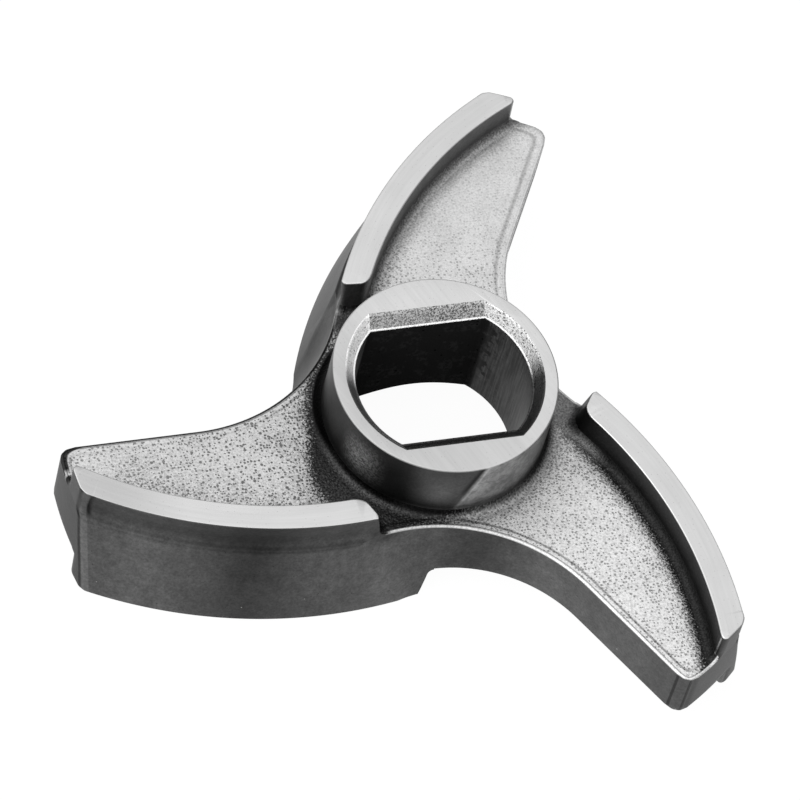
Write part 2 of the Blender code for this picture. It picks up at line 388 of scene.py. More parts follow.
def recess(name, floor, face, inner, stop, tip_round, fillet):
    """What is cut away above or below the web, with its edges rounded and three rails left out."""
    up = 1 if face > floor else -1
    far = face + ABOVE * up
    outer = LEAD_RADIUS + wall_at(face)[0]
    rings = []
    for inset, fall in quarter(WEB_EDGE, 6):
        z = floor - up * fall
        rings.append((z, star_outline(*wall_at(z), inset - CLEAR)))
    rings.append((z, star_outline(*wall_at(z), -BEYOND)))
    rings.append((far, star_outline(*wall_at(z), -BEYOND)))
    tool = loft(name, rings)

    height = abs(face - floor)
    island = []
    for side, rise in quarter(fillet, 10):
        share = 1 - rise / height
        island.append((floor + up * rise, side + RAIL_DRAFT * share, side + RAIL_END_DRAFT * share))
    toe = 2 * island[0][1] - island[1][1], 2 * island[0][2] - island[1][2]
    island.insert(0, (2 * island[0][0] - island[1][0], *toe))
    island.insert(0, (floor - up * (WEB_EDGE + 0.3), *toe))
    for inset, fall in reversed(quarter(GROUND_EDGE, 4)):
        share = fall / height
        island.append((face - up * fall,
                       RAIL_DRAFT * share - inset, RAIL_END_DRAFT * share - inset))
    island.append((far + up, -2.0, -2.0))
    shape = [(z, rail_outline(inner, outer, stop, tip_round, grow, end_grow))
             for z, grow, end_grow in island]
    for k in range(ARMS):
        rail = loft("%s_rail_%d" % (name, k + 1),
                    [(z, [turned(p, k * THIRD) for p in points]) for z, points in shape])
        tool = combined(tool, rail, "DIFFERENCE")
    return tool


def collar():
    """The round collar, with its fillet on the web and a rounded rim."""
    profile = [(COLLAR_RADIUS - 1.0, WEB_BOTTOM + 4.0),
               (COLLAR_RADIUS + COLLAR_FILLET + 0.4, WEB_TOP - 0.2)]
    profile += [(COLLAR_RADIUS + side, WEB_TOP + rise)
                for side, rise in quarter(COLLAR_FILLET, 10)]
    profile += [(COLLAR_RADIUS - side, COLLAR_TOP - rise)
                for side, rise in reversed(quarter(COLLAR_EDGE, 5))]
    return loft("collar", [(z, [polar(r, 2 * math.pi * i / COLLAR_SIDES)
                                for i in range(COLLAR_SIDES)]) for r, z in profile])


def double_d(radius, flat):
    """Outline of a round hole with two flats along X."""
    half = math.asin(flat / radius)
    points = []
    for base in (0.0, math.pi):
        points += [polar(radius, base - half + 2 * half * i / BORE_STEPS)
                   for i in range(BORE_STEPS + 1)]
    return points


def bore():
    """The double-D hole with its chamfered mouth, which ends in a narrow ledge above the bore."""
    soft, over = MOUTH_EDGE, 1.0
    rows = [(-MOUTH_DEPTH - 0.05, 0.0), (-MOUTH_DEPTH, 0.02), (-MOUTH_DEPTH + LIP_RISE, LIP_SHARE),
            (-soft * 0.9, 0.87), (-soft * 0.3, 0.98), (0.0, 1.10), (over, 2.6)]
    rings = [(WEB_BOTTOM - 3.0, double_d(BORE_RADIUS, BORE_FLAT))]
    for height, share in rows:
        rings.append((COLLAR_TOP + height,
                      double_d(BORE_RADIUS + (MOUTH_RADIUS - BORE_RADIUS) * share,
                               BORE_FLAT + (MOUTH_FLAT - BORE_FLAT) * share)))
    return loft("bore", rings)


def countersink():
    """A turned cone that just reaches the flats and breaks the round sides' lower edge."""
    low, high = 1.0, (SINK_RADIUS - BORE_FLAT + 1.0) / SINK_SLOPE
    rings = [(WEB_BOTTOM - low, SINK_RADIUS + SINK_SLOPE * low),
             (WEB_BOTTOM + high, SINK_RADIUS - SINK_SLOPE * high)]
    return loft("countersink", [(z, [polar(r, 2 * math.pi * (i + 0.5) / SINK_SIDES)
                                     for i in range(SINK_SIDES)]) for z, r in rings])


def fine_knife():
    """The whole knife as one closed mesh."""
    knife = body()
    upper = recess("upper_recess", WEB_TOP, RAIL_TOP, RAIL_INNER_TOP,
                   RAIL_STOP_TOP, RAIL_TIP_ROUND_TOP, RAIL_FILLET_TOP)
    knife = combined(knife, upper, "DIFFERENCE")
    lower = recess("lower_recess", WEB_BOTTOM, 0.0, RAIL_INNER_BOTTOM,
                   RAIL_STOP_BOTTOM, RAIL_TIP_ROUND_BOTTOM, RAIL_FILLET_BOTTOM)
    knife = combined(knife, lower, "DIFFERENCE")
    knife = combined(knife, collar(), "UNION")
    knife = combined(knife, bore(), "DIFFERENCE")
    knife = combined(knife, countersink(), "DIFFERENCE")
    knife.name = "knife_skin"
    knife.data.name = "knife_skin"
    return knife


class Graph:
    """Short ways to build one material's nodes. Positions are in the part's frame."""

    def __init__(self, name):
        self.material = bpy.data.materials.new(name)
        self.material.use_nodes = True
        self.nodes = self.material.node_tree.nodes
        self.links = self.material.node_tree.links
        self.shader = self.nodes["Principled BSDF"]
        self.place = self.nodes.new("ShaderNodeTexCoord").outputs["Object"]
        parts = self.nodes.new("ShaderNodeSeparateXYZ")
        self.put(parts.inputs[0], self.place)
        self.x, self.y, z = [self.math("MULTIPLY", parts.outputs[i], 1 / MM) for i in range(3)]
        self.height = self.math("ADD", z, BALANCE)

    def put(self, socket, value):
        if isinstance(value, bpy.types.NodeSocket):
            self.links.new(value, socket)
        else:
            socket.default_value = value

    def math(self, operation, a, b=0.0, c=0.0):
        node = self.nodes.new("ShaderNodeMath")
        node.operation = operation
        for socket, value in zip(node.inputs, (a, b, c)):
            self.put(socket, value)
        return node.outputs[0]

    def times(self, *values):
        result = values[0]
        for value in values[1:]:
            result = self.math("MULTIPLY", result, value)
        return result

    def most(self, *values):
        result = values[0]
        for value in values[1:]:
            result = self.math("MAXIMUM", result, value)
        return result

    def minus(self, a, b):
        return self.math("SUBTRACT", a, b)

    def line(self, value, slope, start):
        """Slope times value, plus start."""
        return self.math("MULTIPLY_ADD", value, slope, start)

    def less(self, mask, amount=1.0):
        """A factor of 1, less that amount where the mask is 1."""
        return self.minus(1.0, self.times(mask, amount))

    def stir(self, value, noise, swing):
        """The value, moved up and down by a noise whose full range makes that swing."""
        return self.line(self.minus(noise, 0.5), swing, value)

    def step(self, value, low, high, start=0.0, end=1.0):
        """A smooth change from start to end as value goes from low to high."""
        node = self.nodes.new("ShaderNodeMapRange")
        node.interpolation_type = "SMOOTHSTEP"
        for name, number in (("Value", value), ("From Min", low), ("From Max", high),
                             ("To Min", start), ("To Max", end)):
            self.put(node.inputs[name], number)
        return node.outputs["Result"]

    def band(self, value, middle, width, peak=1.0, ground=0.0):
        """The peak where value is at middle, falling to the ground at a distance of width."""
        away = self.math("ABSOLUTE", self.minus(value, middle))
        return self.step(away, 0.0, width, peak, ground)

    def between(self, value, rise, fall):
        """1 between a rise and a fall, each given as where it starts from 0 and reaches 1."""
        return self.times(self.step(value, *rise), self.step(value, *fall))

    def blend(self, factor, a, b):
        """From a to b as factor goes from 0 to 1."""
        node = self.nodes.new("ShaderNodeMix")
        for name, value in (("Factor", factor), ("A", a), ("B", b)):
            self.put(node.inputs[name], value)
        return node.outputs["Result"]

    def noise(self, size, detail=2.0, roughness=0.5, vector=None):
        """Noise with features of about that size in millimetres."""
        node = self.nodes.new("ShaderNodeTexNoise")
        node.inputs["Scale"].default_value = 1.0 / (size * MM)
        node.inputs["Detail"].default_value = detail
        node.inputs["Roughness"].default_value = roughness
        self.put(node.inputs["Vector"], vector or self.place)
        return node.outputs["Fac"]

    def pits(self, spacing, share, amount, flat=True, shift=0.0):
        """1 in pinholes with a radius of up to a share of spacing, in an amount of the places."""
        node = self.nodes.new("ShaderNodeTexVoronoi")
        node.voronoi_dimensions = "2D" if flat else "3D"
        node.inputs["Scale"].default_value = 1.0 / (spacing * MM)
        moved = self.nodes.new("ShaderNodeVectorMath")
        self.put(moved.inputs[0], self.place)
        moved.inputs[1].default_value = (shift, shift, 0.0)
        self.put(node.inputs["Vector"], moved.outputs[0])
        chance = self.nodes.new("ShaderNodeSeparateColor")
        self.put(chance.inputs[0], node.outputs["Color"])
        radius = self.line(chance.outputs[0], share * 0.6, share * 0.4)
        hole = self.step(node.outputs["Distance"], self.times(radius, 0.5), radius, 1.0, 0.0)
        return self.times(hole, self.math("LESS_THAN", chance.outputs[1], amount))

    def speckle(self, size, amount):
        """1 in irregular dark specks. An amount of 0.5 covers half of the surface."""
        grain = self.noise(size, 1.5, 0.6)
        limit = 0.34 * amount + 0.33
        return self.step(grain, limit - 0.035, limit + 0.02, 1.0, 0.0)

    def stretched(self, factors, turn=0.0):
        """Positions turned about Z and then scaled along three axes, for marks that run one way."""
        rotated = self.nodes.new("ShaderNodeVectorRotate")
        rotated.rotation_type = "Z_AXIS"
        rotated.inputs["Angle"].default_value = math.radians(turn)
        self.put(rotated.inputs["Vector"], self.place)
        node = self.nodes.new("ShaderNodeMapping")
        node.inputs["Scale"].default_value = factors
        self.put(node.inputs["Vector"], rotated.outputs[0])
        return node.outputs["Vector"]

    def vector(self, x, y):
        node = self.nodes.new("ShaderNodeCombineXYZ")
        self.put(node.inputs[0], x)
        self.put(node.inputs[1], y)
        return node.outputs[0]

    def radius(self, centre=(0.0, 0.0), place=None):
        """Distance from an upright axis."""
        x, y = place or (self.x, self.y)
        across = self.minus(x, centre[0])
        along = self.minus(y, centre[1])
        return self.math("SQRT", self.line(across, across, self.times(along, along)))

    def azimuth(self):
        """Degrees round the bore's axis from +X."""
        return self.times(self.math("ARCTAN2", self.y, self.x), 180 / math.pi)

    def on_arm(self):
        """The place on the nearest arm, turned to the arm that points along -X."""
        angle = self.math("ARCTAN2", self.y, self.x)
        count = self.math("DIVIDE", self.minus(angle, math.radians(ARM_MIDDLE)), THIRD)
        own = self.minus(angle, self.times(self.math("ROUND", count), THIRD))
        out = self.radius()
        return self.times(out, self.math("COSINE", own)), self.times(out, self.math("SINE", own))

    def from_edge(self, place):
        """Distance from the web's edge."""
        centre = neck_centre(EDGE_NECK)
        near = self.minus(self.radius(centre, place), EDGE_NECK)
        straight = self.minus(TRAIL_Y, place[1])
        on_straight = self.math("LESS_THAN", place[0], TRAIL_START_X)
        trail = self.blend(on_straight, near, straight)
        far = self.minus(self.radius(turned(centre, THIRD), place), EDGE_NECK)
        tip = self.minus(TIP_RADIUS, self.radius())
        corner = self.math("SMOOTH_MIN", trail, tip, 2.0)
        return self.math("MINIMUM", corner, far)

    def facing(self, side):
        """Cosine between the surface's own direction and a side."""
        node = self.nodes.new("ShaderNodeVectorMath")
        node.operation = "DOT_PRODUCT"
        self.put(node.inputs[0], self.nodes.new("ShaderNodeTexCoord").outputs["Normal"])
        node.inputs[1].default_value = Vector(side).normalized()
        return node.outputs["Value"]

    def open_sky(self, reach):
        """1 in the open, falling into the corners of the knife within reach, in millimetres."""
        node = self.nodes.new("ShaderNodeAmbientOcclusion")
        node.samples = 4
        node.only_local = True
        node.inputs["Distance"].default_value = reach * MM
        return node.outputs["AO"]

    def bump(self, height, depth, under=None):
        """A bump whose full swing is depth millimetres."""
        node = self.nodes.new("ShaderNodeBump")
        node.inputs["Strength"].default_value = 1.0
        node.inputs["Distance"].default_value = depth * MM
        self.put(node.inputs["Height"], height)
        if under:
            self.put(node.inputs["Normal"], under)
        return node.outputs["Normal"]

    def finish(self, tone, roughness, normal, metallic=1.0):
        """A bare metal of one grey tone. Tone, roughness and metallic are numbers or sockets."""
        colour = self.nodes.new("ShaderNodeCombineColor")
        for socket in colour.inputs:
            self.put(socket, tone)
        for name, value in (("Base Color", colour.outputs[0]), ("Roughness", roughness),
                            ("Normal", normal), ("Metallic", metallic)):
            self.put(self.shader.inputs[name], value)
        return self.material


def ground_steel():
    """Rails and collar face: surface-ground steel with faint scratches, and painted shade on their
    left.
    """
    g = Graph("ground_steel")
    place = g.on_arm()
    out = g.radius(RAIL_CENTRE, place)
    along = g.math("ARCTAN2", g.minus(place[1], RAIL_CENTRE[1]), g.minus(place[0], RAIL_CENTRE[0]))
    lengthwise = g.noise(1.0, 4.0, 0.65, g.vector(g.times(along, 0.0035), g.times(out, 0.0022)))
    slanting = g.noise(0.5, 4.0, 0.65, g.stretched((0.035, 1.0, 1.0), SCRATCH_TURN))
    on_collar = g.math("GREATER_THAN", g.height, RAIL_TOP + 1.0)
    marks = g.blend(on_collar, lengthwise, slanting)
    tone = g.line(g.noise(8.0, 2.0), 0.10, g.line(marks, 0.16, 0.49))

    # painted shade: both are darker on their left
    rails = g.step(g.x, -47.0, -35.0, 0.80, 1.0)
    collar_face = g.step(g.line(g.x, 0.8, g.times(g.y, 0.6)), -10.0, 4.0, 0.87, 1.0)
    specks = g.pits(0.9, 0.10, 0.5)
    tone = g.times(tone, g.blend(on_collar, rails, collar_face), g.less(specks, 0.25))
    return g.finish(tone, 0.36, g.bump(marks, 0.006))


def web_skin():
    """Blasted casting between the rails: pale with dark pinholes, and painted shade in its corners.
    """
    g = Graph("web_skin")
    place = g.on_arm()
    edge = g.from_edge(place)
    grain = g.noise(0.26, 2.0, 0.6)
    cloud = g.noise(5.0, 3.0, 0.55)
    out = g.radius()
    azimuth = g.azimuth()

    # parts of the web
    back = g.step(g.y, 2.0, 24.0)
    front = g.less(back)
    right = g.step(g.x, -7.0, 4.0)
    right_front = g.times(right, front)
    tip = g.step(g.x, *LEFT_TIP)
    wide = g.between(azimuth, *WIDE_SHADE)
    saddle = g.between(azimuth, *SADDLE)
    soft = g.times(right, g.step(azimuth, 60.0, 30.0))

    # distances to the collar and to the rails, made rough for the painted shade's outline
    collar_side = g.line(wide, -3.2, g.minus(out, COLLAR_RADIUS))
    collar_side = g.line(right, g.blend(saddle, 1.1, 0.1), collar_side)
    collar_side = g.stir(collar_side, grain, g.blend(soft, 4.2, 1.6))
    rail = g.minus(RAIL_INNER_TOP, g.radius(RAIL_CENTRE, place))
    rail = g.line(g.step(place[0], LEAD_END_X - 1.0, LEAD_END_X + 1.5), 9.0, rail)
    shift = g.blend(back, g.blend(right, 0.45, 0.0), 1.2)
    rail = g.math("ADD", rail, g.most(shift, g.times(tip, 4.0)))
    rail = g.math("MINIMUM", rail, g.minus(g.radius(RAIL_END, place), 1.4))
    rail = g.stir(rail, grain, g.blend(back, g.blend(right, 4.2, 3.0), 2.0))

    # 1 where there is no painted shade: out of the corners, away from both, and on the front edge
    opened = g.line(grain, 0.34, g.minus(g.open_sky(9.0), 0.17))
    opened = g.stir(opened, cloud, 0.10)
    opened = g.math("ADD", opened, g.most(g.times(g.most(right, back), 0.6), g.times(tip, 0.8)))
    unshaded = g.times(g.step(opened, 0.58, 0.80),
                    g.step(rail, g.blend(back, 1.4, 0.4), g.blend(back, 3.0, 4.4)),
                    g.step(collar_side, g.blend(soft, 1.4, 0.2), g.blend(soft, 3.0, 4.2)))
    on_edge = g.times(g.step(edge, 0.42, 0.25), g.step(g.x, -10.6, -9.6), front)
    unshaded = g.most(unshaded, on_edge)

    # pinholes, crowded near the painted shade and in the groove inside the edge
    groove = g.band(edge, g.blend(back, 1.22, 1.40), g.blend(back, 0.32, 0.50))
    near = g.math("MINIMUM", collar_side, rail)
    crowd = g.most(g.step(opened, 0.70, 1.05, 0.80, 0.42), g.step(near, 6.0, 2.0, 0.42, 0.95))
    crowd = g.stir(crowd, cloud, -0.9)
    crowd = g.line(groove, 0.35, crowd)
    crowd = g.line(g.times(soft, g.step(out, 30.0, 20.0)), 0.12, crowd)
    large = g.times(g.pits(0.80, 0.36, 0.34, shift=0.013), g.blend(right, 1.0, 0.4))
    left_depth = g.step(g.x, -46.0, -24.0, 0.66, 0.84)
    right_depth = g.blend(back, 0.62, g.step(g.y, 16.0, 34.0, 0.54, 0.20))
    holes = g.times(g.most(g.pits(0.44, 0.50, crowd), large),
                    g.blend(right, left_depth, right_depth), g.step(edge, 0.35, 0.60))

    # pale steel with its holes, and the lines inside the edge
    pale = g.times(g.line(cloud, 0.20, 0.52), g.line(grain, 0.5, 0.75),
                   g.less(g.speckle(0.30, 0.42), g.blend(back, 0.20, 0.09)))
    # painted light: the outer web on the right is much paler, and the back a little
    outer_right = g.times(right_front, g.step(out, 17.0, 28.0))
    pale = g.times(pale, g.blend(outer_right, g.blend(back, 1.02, 1.10), 1.28))
    tone = g.times(g.blend(holes, pale, 0.075),
                   g.band(edge, 0.45, 0.14, g.blend(back, 0.38, 0.9), 1.0),
                   g.less(groove, g.blend(back, 0.22, 0.32)))

    # painted shade in the corners, which is grey by the collar between the two arms on the right
    corner_shade = g.blend(back, g.blend(right, 0.032, 0.024), 0.065)
    inner_right = g.times(right_front, g.step(out, 24.0, 20.0))
    corner_shade = g.blend(inner_right, corner_shade, g.blend(saddle, 0.040, 0.145))
    corner_shade = g.times(corner_shade, g.step(grain, 0.35, 0.65, 0.7, g.blend(wide, 1.4, 2.3)),
                    g.step(out, COLLAR_RADIUS + 0.3, COLLAR_RADIUS + 0.8, 0.2, 1.0))
    tone = g.blend(unshaded, corner_shade, tone)

    # painted shade on the far edges on the left, which turn away from the light, and round the left
    # tip
    far = g.times(g.step(g.facing(DARK_SIDE), 0.03, 0.22), g.step(g.x, *LEFT))
    nose = g.step(g.x, *NOSE)
    rim = g.step(edge, g.blend(nose, 0.42, 1.0), g.blend(nose, 0.30, 0.75))
    far = g.most(far, g.times(rim, g.step(g.x, -9.0, -10.5), g.step(g.y, -2.0, -1.0)))
    tone = g.times(tone, g.less(far, 0.94))
    normal = g.bump(g.step(edge, 0.95, 1.35, 1.0, 0.0), 0.07)
    normal = g.bump(g.minus(g.times(grain, 0.5), holes), 0.03, normal)
    return g.finish(tone, 0.46, normal)


def collar_tone(g, ridge, grain, mottle):
    """Tone of the collar's wall: dark, with pale patches of painted light, a painted reflection
    beside the ridge, and painted shade in a band and on its left.
    """
    azimuth = g.azimuth()
    # pale patches of painted light, and a painted reflection beside the ridge
    rough = g.times(g.band(azimuth, *ROUGH_PATCH), g.band(g.height, 17.5, 5.5),
                    g.step(grain, 0.4, 0.62, 2.4, 6.6))
    faint = g.times(g.band(azimuth, *FAINT_PATCH, 0.5), g.band(g.height, 17.5, 5.0))
    sheen = g.times(g.between(ridge, *RIDGE_SHEEN), g.step(mottle, 0.36, 0.64, 2.1, 3.4))
    # painted highlight on the ridge's crest, and painted shade in the crease beside it and in a
    # dark band
    crest = g.times(g.band(ridge, 1.6, 1.3), g.step(g.height, 14.5, 16.5))
    crease = g.times(g.band(ridge, -2.4, 2.6), g.step(g.height, 16.0, 18.5))
    patch = g.line(crease, -0.45, g.most(rough, faint, sheen))
    patch = g.line(crest, 0.8, patch)
    patch = g.line(g.band(azimuth, *DARK_BAND), -0.35, patch)
    # painted shade: the wall is darker on its left
    left = g.step(g.math("ABSOLUTE", azimuth), 150.0, 178.0, 1.0, 0.40)
    return g.times(g.line(patch, 0.090, 0.054), left)


def wall_skin():
    """Side walls: dark satin cast skin, with painted shade near black in the rails' corners, and
    bright edges from wear and painted highlights.
    """
    g = Graph("wall_skin")
    place = g.on_arm()
    middle = g.radius()
    zones = g.noise(9.0, 2.0, 0.5, g.stretched((1.0, 1.0, 0.22)))
    grain = g.noise(0.35, 3.0, 0.65)
    cloud = g.noise(3.0, 3.0, 0.6)
    mottle = g.noise(1.1, 2.0, 0.6)
    ridge = g.minus(g.azimuth(), g.line(g.height, RIDGE_LEAN, RIDGE_FOOT))

    # parts of the walls
    out = g.radius(LEAD_CENTRE, place)
    leading = g.times(g.step(out, LEAD_RADIUS - 0.75, LEAD_RADIUS - 0.6),
                      g.step(place[0], LEAD_END_X, LEAD_END_X - 1.5))
    tip = g.step(middle, TIP_RADIUS - 0.25, TIP_RADIUS - 0.10)
    strip = g.times(leading, g.step(middle, TIP_RADIUS - 0.88, TIP_RADIUS - 0.78), g.less(tip))
    behind = g.times(g.most(leading, g.step(g.x, -7.0, -12.0)), g.step(g.y, 0.0, 5.0, 0.0, 1.08))
    inner = g.times(g.step(g.height, WEB_TOP + 0.1, WEB_TOP + 0.4), g.less(leading))
    on_collar = g.step(middle, COLLAR_RADIUS + 0.6, COLLAR_RADIUS + 0.3)
    back = g.times(g.step(g.y, 6.0, 12.0), g.less(on_collar))

    # cast skin and pits, with painted reflections as dark zones on the front walls
    shade = g.times(g.most(*[g.band(g.x, *zone) for zone in SHADES]), g.step(g.y, -9.0, -12.0))
    # painted shade in the notch under the rail and by the rail's end
    notch = g.times(leading, g.band(middle, TIP_RADIUS - 1.15, 0.42), g.step(g.height, 12.6, 13.4))
    foot = g.times(g.step(g.radius(RAIL_END, place), 3.6, 1.4), g.step(g.height, 11.0, 12.2))
    tone = g.step(zones, 0.30, 0.70, 0.078, 0.104)
    tone = g.times(tone, g.line(cloud, 0.5, 0.75), g.line(grain, 1.1, 0.45),
                   g.line(mottle, 0.7, 0.65))
    # a painted highlight on the strip beside the tip, and darker tips and back
    tone = g.times(tone, g.line(shade, -0.60, 1.10), g.less(tip, 0.66), g.line(strip, 0.45, 1.0),
                   g.less(behind, 0.64), g.less(g.most(notch, g.times(foot, 0.7)), 0.75),
                   g.less(g.pits(0.9, 0.14, 0.4, False), 0.6))
    tone = g.line(g.pits(2.2, 0.06, 0.5, False), 0.25, tone)

    # painted shade in the hollow under the ground faces, and on its ledge
    hollow = g.most(g.step(g.height, 12.2, 14.5, 0.0, 0.40), g.band(g.height, WEB_TOP, 0.9, 0.27))
    tone = g.times(tone, g.less(leading, hollow))

    # painted shade in the corners of the rails and the collar, paler at the back
    unshaded = g.blend(on_collar, g.step(g.open_sky(7.0), 0.45, 0.98),
                    g.step(g.height, WEB_TOP, WEB_TOP + 3.4))
    light = g.blend(on_collar, g.blend(back, 0.050, 0.15), collar_tone(g, ridge, grain, mottle))
    corner = g.times(g.blend(unshaded, g.blend(back, 0.022, 0.15), light),
                     g.line(cloud, 0.8, 0.6), g.line(grain, 0.9, 0.55))
    tone = g.blend(inner, tone, corner)
    # painted light: walls that look to the rear are up to twice as pale
    tone = g.times(tone, g.step(g.facing(REAR), 0.30, 0.70, 1.0, 2.0))

    # edges polished by wear and with painted highlights, and painted shade on the far web edges on
    # the left
    open_web = g.most(g.step(g.radius(RAIL_CENTRE, place), RAIL_INNER_TOP, RAIL_INNER_TOP - 0.5),
                      g.step(place[0], LEAD_END_X + 0.8, LEAD_END_X + 1.8))
    web_line = g.times(open_web, g.band(g.height, WEB_TOP - 0.12, 0.14))
    shaded = g.times(g.step(g.facing(DARK_SIDE), 0.05, 0.35), g.step(g.x, *LEFT))
    front_shade = g.times(leading, g.step(g.facing(FRONT), 0.2, 0.5))
    rail_line = g.times(g.band(g.height, RAIL_TOP, 0.18), g.less(front_shade, 0.85),
                        g.math("GREATER_THAN", middle, COLLAR_RADIUS + 1.0))
    rim_line = g.times(g.band(g.height, COLLAR_TOP, 0.20), g.step(g.y, 3.0, 8.0, 0.4, 1.0))
    tip_line = g.times(g.band(middle, TIP_RADIUS - 0.80, 0.22, 0.45), inner,
                       g.step(g.height, RAIL_TOP - 0.2, RAIL_TOP - 0.6))
    wear_and_highlight = g.most(web_line, rail_line, rim_line, tip_line)
    tone = g.blend(wear_and_highlight, tone, g.blend(g.times(web_line, shaded), 0.72, 0.02))

    # painted shade: dark edges of the facets at the tips
    low = g.step(g.height, WEB_TOP - 0.3, WEB_TOP - 0.5)
    for corner in TIP_LINES:
        upright = g.step(g.radius(corner, place), 0.30, 0.14, 0.0, 0.7)
        tone = g.times(tone, g.less(upright, low))
    normal = g.bump(grain, 0.018)
    normal = g.bump(g.times(on_collar, g.step(ridge, -3.0, 2.0)), 0.22, normal)
    return g.finish(tone, g.blend(wear_and_highlight, 0.47, 0.28), normal)


def bore_skin():
    """Inside of the bore: painted shade, near black on its flats; broaching marks and pits on its
    round sides.
    """
    g = Graph("bore_skin")
    azimuth = g.math("ARCTAN2", g.y, g.x)
    round_side = g.step(g.math("ABSOLUTE", g.y), BORE_FLAT - 0.25, BORE_FLAT - 0.9)
    upright = g.vector(g.times(azimuth, 0.012), g.times(g.height, 0.00005))
    ribs = g.noise(0.34, 3.0, 0.65, upright)
    cloud = g.noise(3.0, 3.0, 0.6)
    # painted shade: near black on the flats and dark on the round sides
    tone = g.blend(round_side, 0.015, g.step(ribs, 0.34, 0.70, 0.014, 0.056))
    scab = g.times(g.speckle(0.5, 0.5), g.step(cloud, 0.48, 0.58))
    tone = g.line(scab, 0.009, tone)
    seam = g.times(g.band(azimuth, 0.68, 0.17), g.step(g.noise(1.5, 3.0), 0.53, 0.46),
                   g.step(g.height, 7.0, 10.0))
    tone = g.times(tone, g.less(g.most(g.pits(1.2, 0.20, 0.6, False), seam), 0.92))
    g.put(g.shader.inputs["Specular IOR Level"], 0.0)
    return g.finish(tone, 0.42, g.bump(ribs, 0.02), g.times(round_side, 0.7))


def mouth_skin():
    """Chamfer round the bore's mouth: pale and pinholed, with painted shade on its near side,
    painted light on its round sides and a painted highlight on its lip.
    """
    g = Graph("mouth_skin")
    grain = g.noise(0.26, 2.0, 0.6)
    right = g.math("GREATER_THAN", g.x, 0.0)
    flat = g.math("LESS_THAN", g.math("ABSOLUTE", g.x), MOUTH_CORNER_X)
    # painted shade on the near side, and painted light that makes the round sides paler than the
    # flats, the left one most
    far = g.step(g.minus(g.y, g.blend(right, 2.2, 0.2)), -2.2, 2.2)
    light = g.blend(flat, g.blend(right, 0.95, 0.72), 0.49)
    holes = g.most(g.pits(0.36, 0.52, g.blend(right, 0.5, 0.9), False),
                   g.times(g.speckle(0.25, 0.36), g.blend(flat, 0.4, 0.8)))
    tone = g.times(g.blend(far, 0.07, light), g.line(grain, 0.6, 0.70),
                   g.less(holes, g.blend(right, 0.60, 0.78)))
    # painted highlight on the lip, on the far side
    ledge = COLLAR_TOP - MOUTH_DEPTH + LIP_RISE
    tone = g.blend(g.times(g.step(g.height, ledge + 0.03, ledge), far), tone, 0.95)
    metallic = g.blend(g.most(right, flat), 0.2, 1.0)
    return g.finish(tone, 0.42, g.bump(g.minus(grain, holes), 0.05), metallic)


SKINS = (wall_skin, ground_steel, web_skin, bore_skin, mouth_skin)
WALL_SLOT, GROUND_SLOT, WEB_SLOT, BORE_SLOT, MOUTH_SLOT = range(5)


def to_arm(x, y):
    """A place turned to the arm that points along -X."""
    angle = math.atan2(y, x)
    count = round((angle - math.radians(ARM_MIDDLE)) / THIRD)
    return turned((x, y), -count * THIRD)


def slot_of(centre, normal):
    """Which skin a face has, from where it is, in millimetres, and where it looks."""
    height = centre.z + BALANCE
    out = Vector((centre.x, centre.y)).length
    inward = normal.x * centre.x + normal.y * centre.y < 0
    if out < COLLAR_RADIUS - 1.0 and height > WEB_BOTTOM + 0.02:
        if COLLAR_TOP - MOUTH_DEPTH - 0.05 < height < COLLAR_TOP - 0.02 and normal.z > 0.2:
            return MOUTH_SLOT
        if height < COLLAR_TOP - 0.02 and inward:
            return BORE_SLOT
    ground = (COLLAR_TOP, RAIL_TOP) if normal.z > 0 else (0.0,)
    if abs(normal.z) > 0.9 and any(abs(height - level) < 0.02 for level in ground):
        return GROUND_SLOT
    place = to_arm(centre.x, centre.y)
    on_wall = (place - Vector(LEAD_CENTRE)).length > LEAD_RADIUS - 0.7 and place.x < LEAD_END_X
    if normal.z > 0.35 and WEB_TOP - 0.12 < height < WEB_TOP + 1.6 and not on_wall:
        return WEB_SLOT
    if normal.z < -0.35 and WEB_BOTTOM - 1.2 < height < WEB_BOTTOM + 0.05:
        return WEB_SLOT
    return WALL_SLOT


def dress(knife):
    """Gives each face its skin, smooths the mesh and keeps its flat faces flat."""
    mesh = knife.data
    mesh.materials.clear()
    for skin in SKINS:
        mesh.materials.append(skin())
    bm = bmesh.new()
    bm.from_mesh(mesh)
    bmesh.ops.remove_doubles(bm, verts=bm.verts, dist=WELD * MM)
    bmesh.ops.dissolve_degenerate(bm, edges=bm.edges, dist=SLIVER * MM)
    bmesh.ops.triangulate(bm, faces=[f for f in bm.faces if len(f.verts) > 4])
    bm.normal_update()
    for face in bm.faces:
        face.smooth = True
        face.material_index = slot_of(face.calc_center_median() / MM, face.normal)
    bm.to_mesh(mesh)
    bm.free()
    mesh.set_sharp_from_angle(angle=math.radians(SHARP_ANGLE))
    even = knife.modifiers.new("flat_faces", "WEIGHTED_NORMAL")
    even.keep_sharp = True
    even.weight = 100


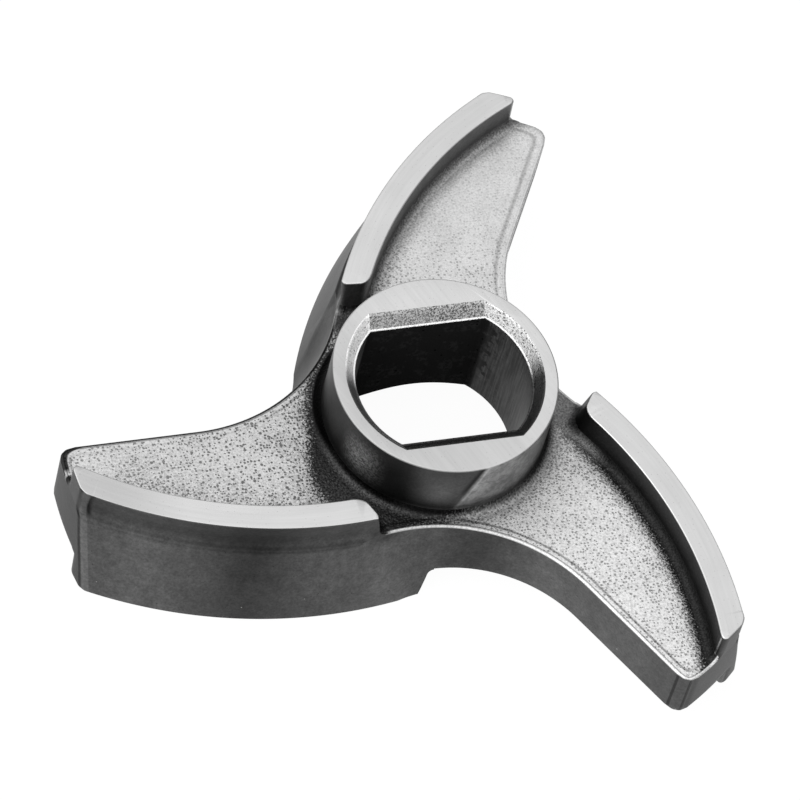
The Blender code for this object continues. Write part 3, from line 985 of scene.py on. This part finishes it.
def floor():
    """A pale floor under the rails that shows the photograph's white and keeps a faint shadow."""
    depth = (BALANCE + FLOOR_GAP) * MM
    bpy.ops.mesh.primitive_plane_add(size=FLOOR_SIZE, location=(0, 0, -depth))
    plane = bpy.context.object
    plane.name = "floor"
    material = bpy.data.materials.new("white_floor")
    material.use_nodes = True
    nodes, links = material.node_tree.nodes, material.node_tree.links
    nodes.clear()
    paper = nodes.new("ShaderNodeBsdfDiffuse")
    paper.inputs["Color"].default_value = (0.9, 0.9, 0.9, 1)
    glow = nodes.new("ShaderNodeEmission")
    glow.inputs["Color"].default_value = WHITE
    glow.inputs["Strength"].default_value = FLOOR_GLOW
    rays = nodes.new("ShaderNodeLightPath")
    seen = nodes.new("ShaderNodeMath")
    seen.operation = "MAXIMUM"
    links.new(rays.outputs["Is Camera Ray"], seen.inputs[0])
    links.new(rays.outputs["Is Glossy Ray"], seen.inputs[1])
    share = nodes.new("ShaderNodeMath")
    share.operation = "MULTIPLY"
    links.new(seen.outputs[0], share.inputs[0])
    share.inputs[1].default_value = FLOOR_GLOW_SHARE
    mix = nodes.new("ShaderNodeMixShader")
    links.new(share.outputs[0], mix.inputs[0])
    links.new(paper.outputs[0], mix.inputs[1])
    links.new(glow.outputs[0], mix.inputs[2])
    out = nodes.new("ShaderNodeOutputMaterial")
    links.new(mix.outputs[0], out.inputs["Surface"])
    plane.data.materials.append(material)


def world():
    """A soft studio room, brightest above the knife and dimmer low down and behind."""
    room = bpy.data.worlds.new("studio")
    bpy.context.scene.world = room
    room.use_nodes = True
    nodes, links = room.node_tree.nodes, room.node_tree.links
    back = nodes["Background"]
    back.inputs["Color"].default_value = WHITE
    place = nodes.new("ShaderNodeTexCoord")
    facing = nodes.new("ShaderNodeVectorMath")
    facing.operation = "DOT_PRODUCT"
    links.new(place.outputs["Generated"], facing.inputs[0])
    facing.inputs[1].default_value = Vector(BRIGHT_SIDE).normalized()
    ramp = nodes.new("ShaderNodeMapRange")
    ramp.interpolation_type = "SMOOTHSTEP"
    links.new(facing.outputs["Value"], ramp.inputs["Value"])
    ramp.inputs["From Min"].default_value, ramp.inputs["From Max"].default_value = ROOM_SPREAD
    ramp.inputs["To Min"].default_value, ramp.inputs["To Max"].default_value = ROOM_LIGHT
    links.new(ramp.outputs["Result"], back.inputs["Strength"])


def lamp(name, place, size, power):
    """A square soft lamp that looks at the knife. Place is in millimetres."""
    data = bpy.data.lights.new(name, "AREA")
    data.shape = "SQUARE"
    data.size = size * MM
    data.energy = power
    thing = bpy.data.objects.new(name, data)
    thing.location = Vector(place) * MM
    thing.rotation_euler = (-Vector(place)).to_track_quat("-Z", "Y").to_euler()
    bpy.context.scene.collection.objects.link(thing)


def camera():
    """The photograph's camera: where it stood, how it was turned and its long lens."""
    down, turn = math.radians(LOOKS_DOWN), math.radians(STANDS_AT)
    away = Vector((*polar(math.cos(down), turn), math.sin(down)))
    right = Vector((-math.sin(turn), math.cos(turn), 0))
    ahead = -away
    up = right.cross(ahead)
    rows = Matrix.Rotation(math.radians(ROLL), 3, "Z") @ Matrix((right, -up, ahead))
    rows = Matrix.Rotation(math.radians(PAN), 3, "Y") @ rows
    rows = Matrix.Rotation(-math.radians(TILT), 3, "X") @ rows
    data = bpy.data.cameras.new("camera")
    data.sensor_width = SENSOR
    data.lens = FOCAL_PIXELS * SENSOR / PHOTO_SIZE
    data.clip_start, data.clip_end = 0.05, 20.0
    thing = bpy.data.objects.new("camera", data)
    bpy.context.scene.collection.objects.link(thing)
    pose = Matrix((rows[0], -rows[1], -rows[2])).transposed().to_4x4()
    place = Vector((0, 0, (COLLAR_TOP - BALANCE) * MM)) + away * DISTANCE * MM
    thing.matrix_world = Matrix.Translation(place) @ pose
    bpy.context.scene.camera = thing


def main():
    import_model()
    knife = fine_knife()
    dress(knife)
    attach(knife, "root")
    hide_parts("grinder_knife")

    floor()
    world()
    lamp("key", place=(-300, -60, 420), size=300, power=0.5)
    camera()
    bpy.context.scene.view_settings.view_transform = "Standard"


main()
